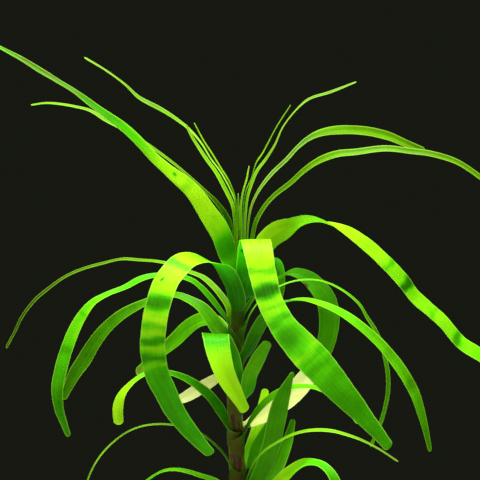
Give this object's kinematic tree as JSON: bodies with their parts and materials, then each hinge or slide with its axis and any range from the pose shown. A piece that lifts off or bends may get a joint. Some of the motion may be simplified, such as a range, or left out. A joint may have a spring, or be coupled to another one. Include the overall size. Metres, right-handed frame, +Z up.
{
  "type": "potted stem plant with ribbon leaves",
  "caption": "Submersed aquarium stem plant: ribbon leaves arching from one upright stem, rooted in a small slotted round grower's pot that stands flat.",
  "frame": {"origin": "centre of the pot's underside", "axes": "+Z up along the pot's axis and the stem, -Y toward the side the plant was seen from, +X to the right from there"},
  "size_m": [0.1513, 0.0992, 0.1863],
  "materials": {
    "leaf_lime": "satin",
    "leaf_green": "satin",
    "leaf_old": "matte",
    "stem": "satin",
    "pot": "satin",
    "filling": "matte"
  },
  "bodies": {
    "root": {"stem": "stem", "pot": "pot", "filling": "filling", "leaf_crown_left_long": "leaf_green", "leaf_crown_left_back": "leaf_green", "leaf_crown_left_front": "leaf_green", "leaf_crown_middle": "leaf_green", "leaf_crown_bud": "leaf_green", "leaf_crown_right_short": "leaf_green", "leaf_crown_right_long": "leaf_green", "leaf_high_right_upper": "leaf_green", "leaf_high_right_lower": "leaf_green", "leaf_high_left_broad": "leaf_lime", "leaf_high_left_wavy": "leaf_green", "leaf_right_broad": "leaf_lime", "leaf_right_pale": "leaf_green", "leaf_right_hooked": "leaf_green", "leaf_right_thin": "leaf_green", "leaf_right_arched": "leaf_green", "leaf_right_folded": "leaf_green", "leaf_old_right": "leaf_old", "leaf_old_left": "leaf_old", "leaf_front": "leaf_lime", "leaf_front_left": "leaf_lime", "leaf_front_short": "leaf_lime", "leaf_left_thin": "leaf_green", "leaf_left_bright": "leaf_lime", "leaf_left_dark": "leaf_green", "leaf_left_short": "leaf_green", "leaf_low_left_lime": "leaf_lime", "leaf_low_left_thin": "leaf_green", "leaf_low_left_edge": "leaf_green", "leaf_low_right_arched": "leaf_green", "leaf_low_right_upright": "leaf_green", "leaf_low_right_wide": "leaf_green", "leaf_low_right_lime": "leaf_lime", "leaf_low_right_back": "leaf_green", "leaf_low_right_thin": "leaf_green", "leaf_low_right_bright": "leaf_lime", "leaf_low_1": "leaf_green", "leaf_low_2": "leaf_green", "leaf_low_3": "leaf_green", "leaf_low_4": "leaf_green", "leaf_low_5": "leaf_green", "leaf_low_6": "leaf_green", "leaf_low_7": "leaf_green"}
  },
  "joints": []
}
